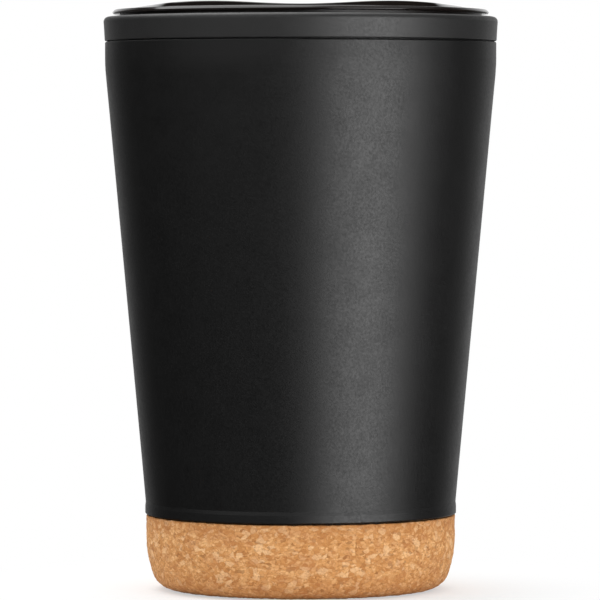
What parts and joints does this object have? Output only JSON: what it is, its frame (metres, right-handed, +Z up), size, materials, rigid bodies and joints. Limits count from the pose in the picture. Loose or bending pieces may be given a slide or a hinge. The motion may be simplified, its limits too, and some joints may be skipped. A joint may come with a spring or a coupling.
{
  "type": "insulated travel cup",
  "caption": "Tapered double-wall travel cup with a cork foot, a rim collar and a push-on lid with a wavy raised top and a slide over its drinking hole.",
  "frame": {"origin": "middle of the underside, on the surface the cup stands on", "axes": "+Z up along the cup's axis, -Y towards the drinking hole, +X to the right of someone facing the drinking hole"},
  "size_m": [0.0882, 0.0882, 0.131],
  "materials": {
    "cork": "agglomerated cork, sanded and waxed",
    "adhesive": "cured adhesive film",
    "matte_shell": "moulded polypropylene, fine matt texture",
    "collar_plastic": "moulded polypropylene, satin",
    "liner_steel": "drawn and brushed stainless steel",
    "lid_gloss": "polished dark smoke copolyester",
    "slide_plastic": "moulded acetal, satin",
    "dark_silicone": "moulded silicone, dull"
  },
  "bodies": {
    "cup": {"cork_base": "cork", "cork_bond_disc": "adhesive", "outer_shell": "matte_shell", "liner_rest_pad": "dark_silicone", "inner_liner": "liner_steel", "rim_gasket": "dark_silicone", "rim_collar": "collar_plastic"},
    "lid": {"lid_plug": "lid_gloss", "lid_seal": "dark_silicone", "lid_cover": "lid_gloss"},
    "slide": {"slide_button": "slide_plastic", "sip_stopper": "dark_silicone", "slide_keeper": "slide_plastic"}
  },
  "joints": [
    {"name": "lid_lift", "type": "slide", "parent": "cup", "child": "lid", "axis": [0, 0, 1], "range_m": [0, 0.1]},
    {"name": "slide_close", "type": "slide", "parent": "lid", "child": "slide", "axis": [0, -1, 0], "range_m": [0, 0.013]}
  ]
}
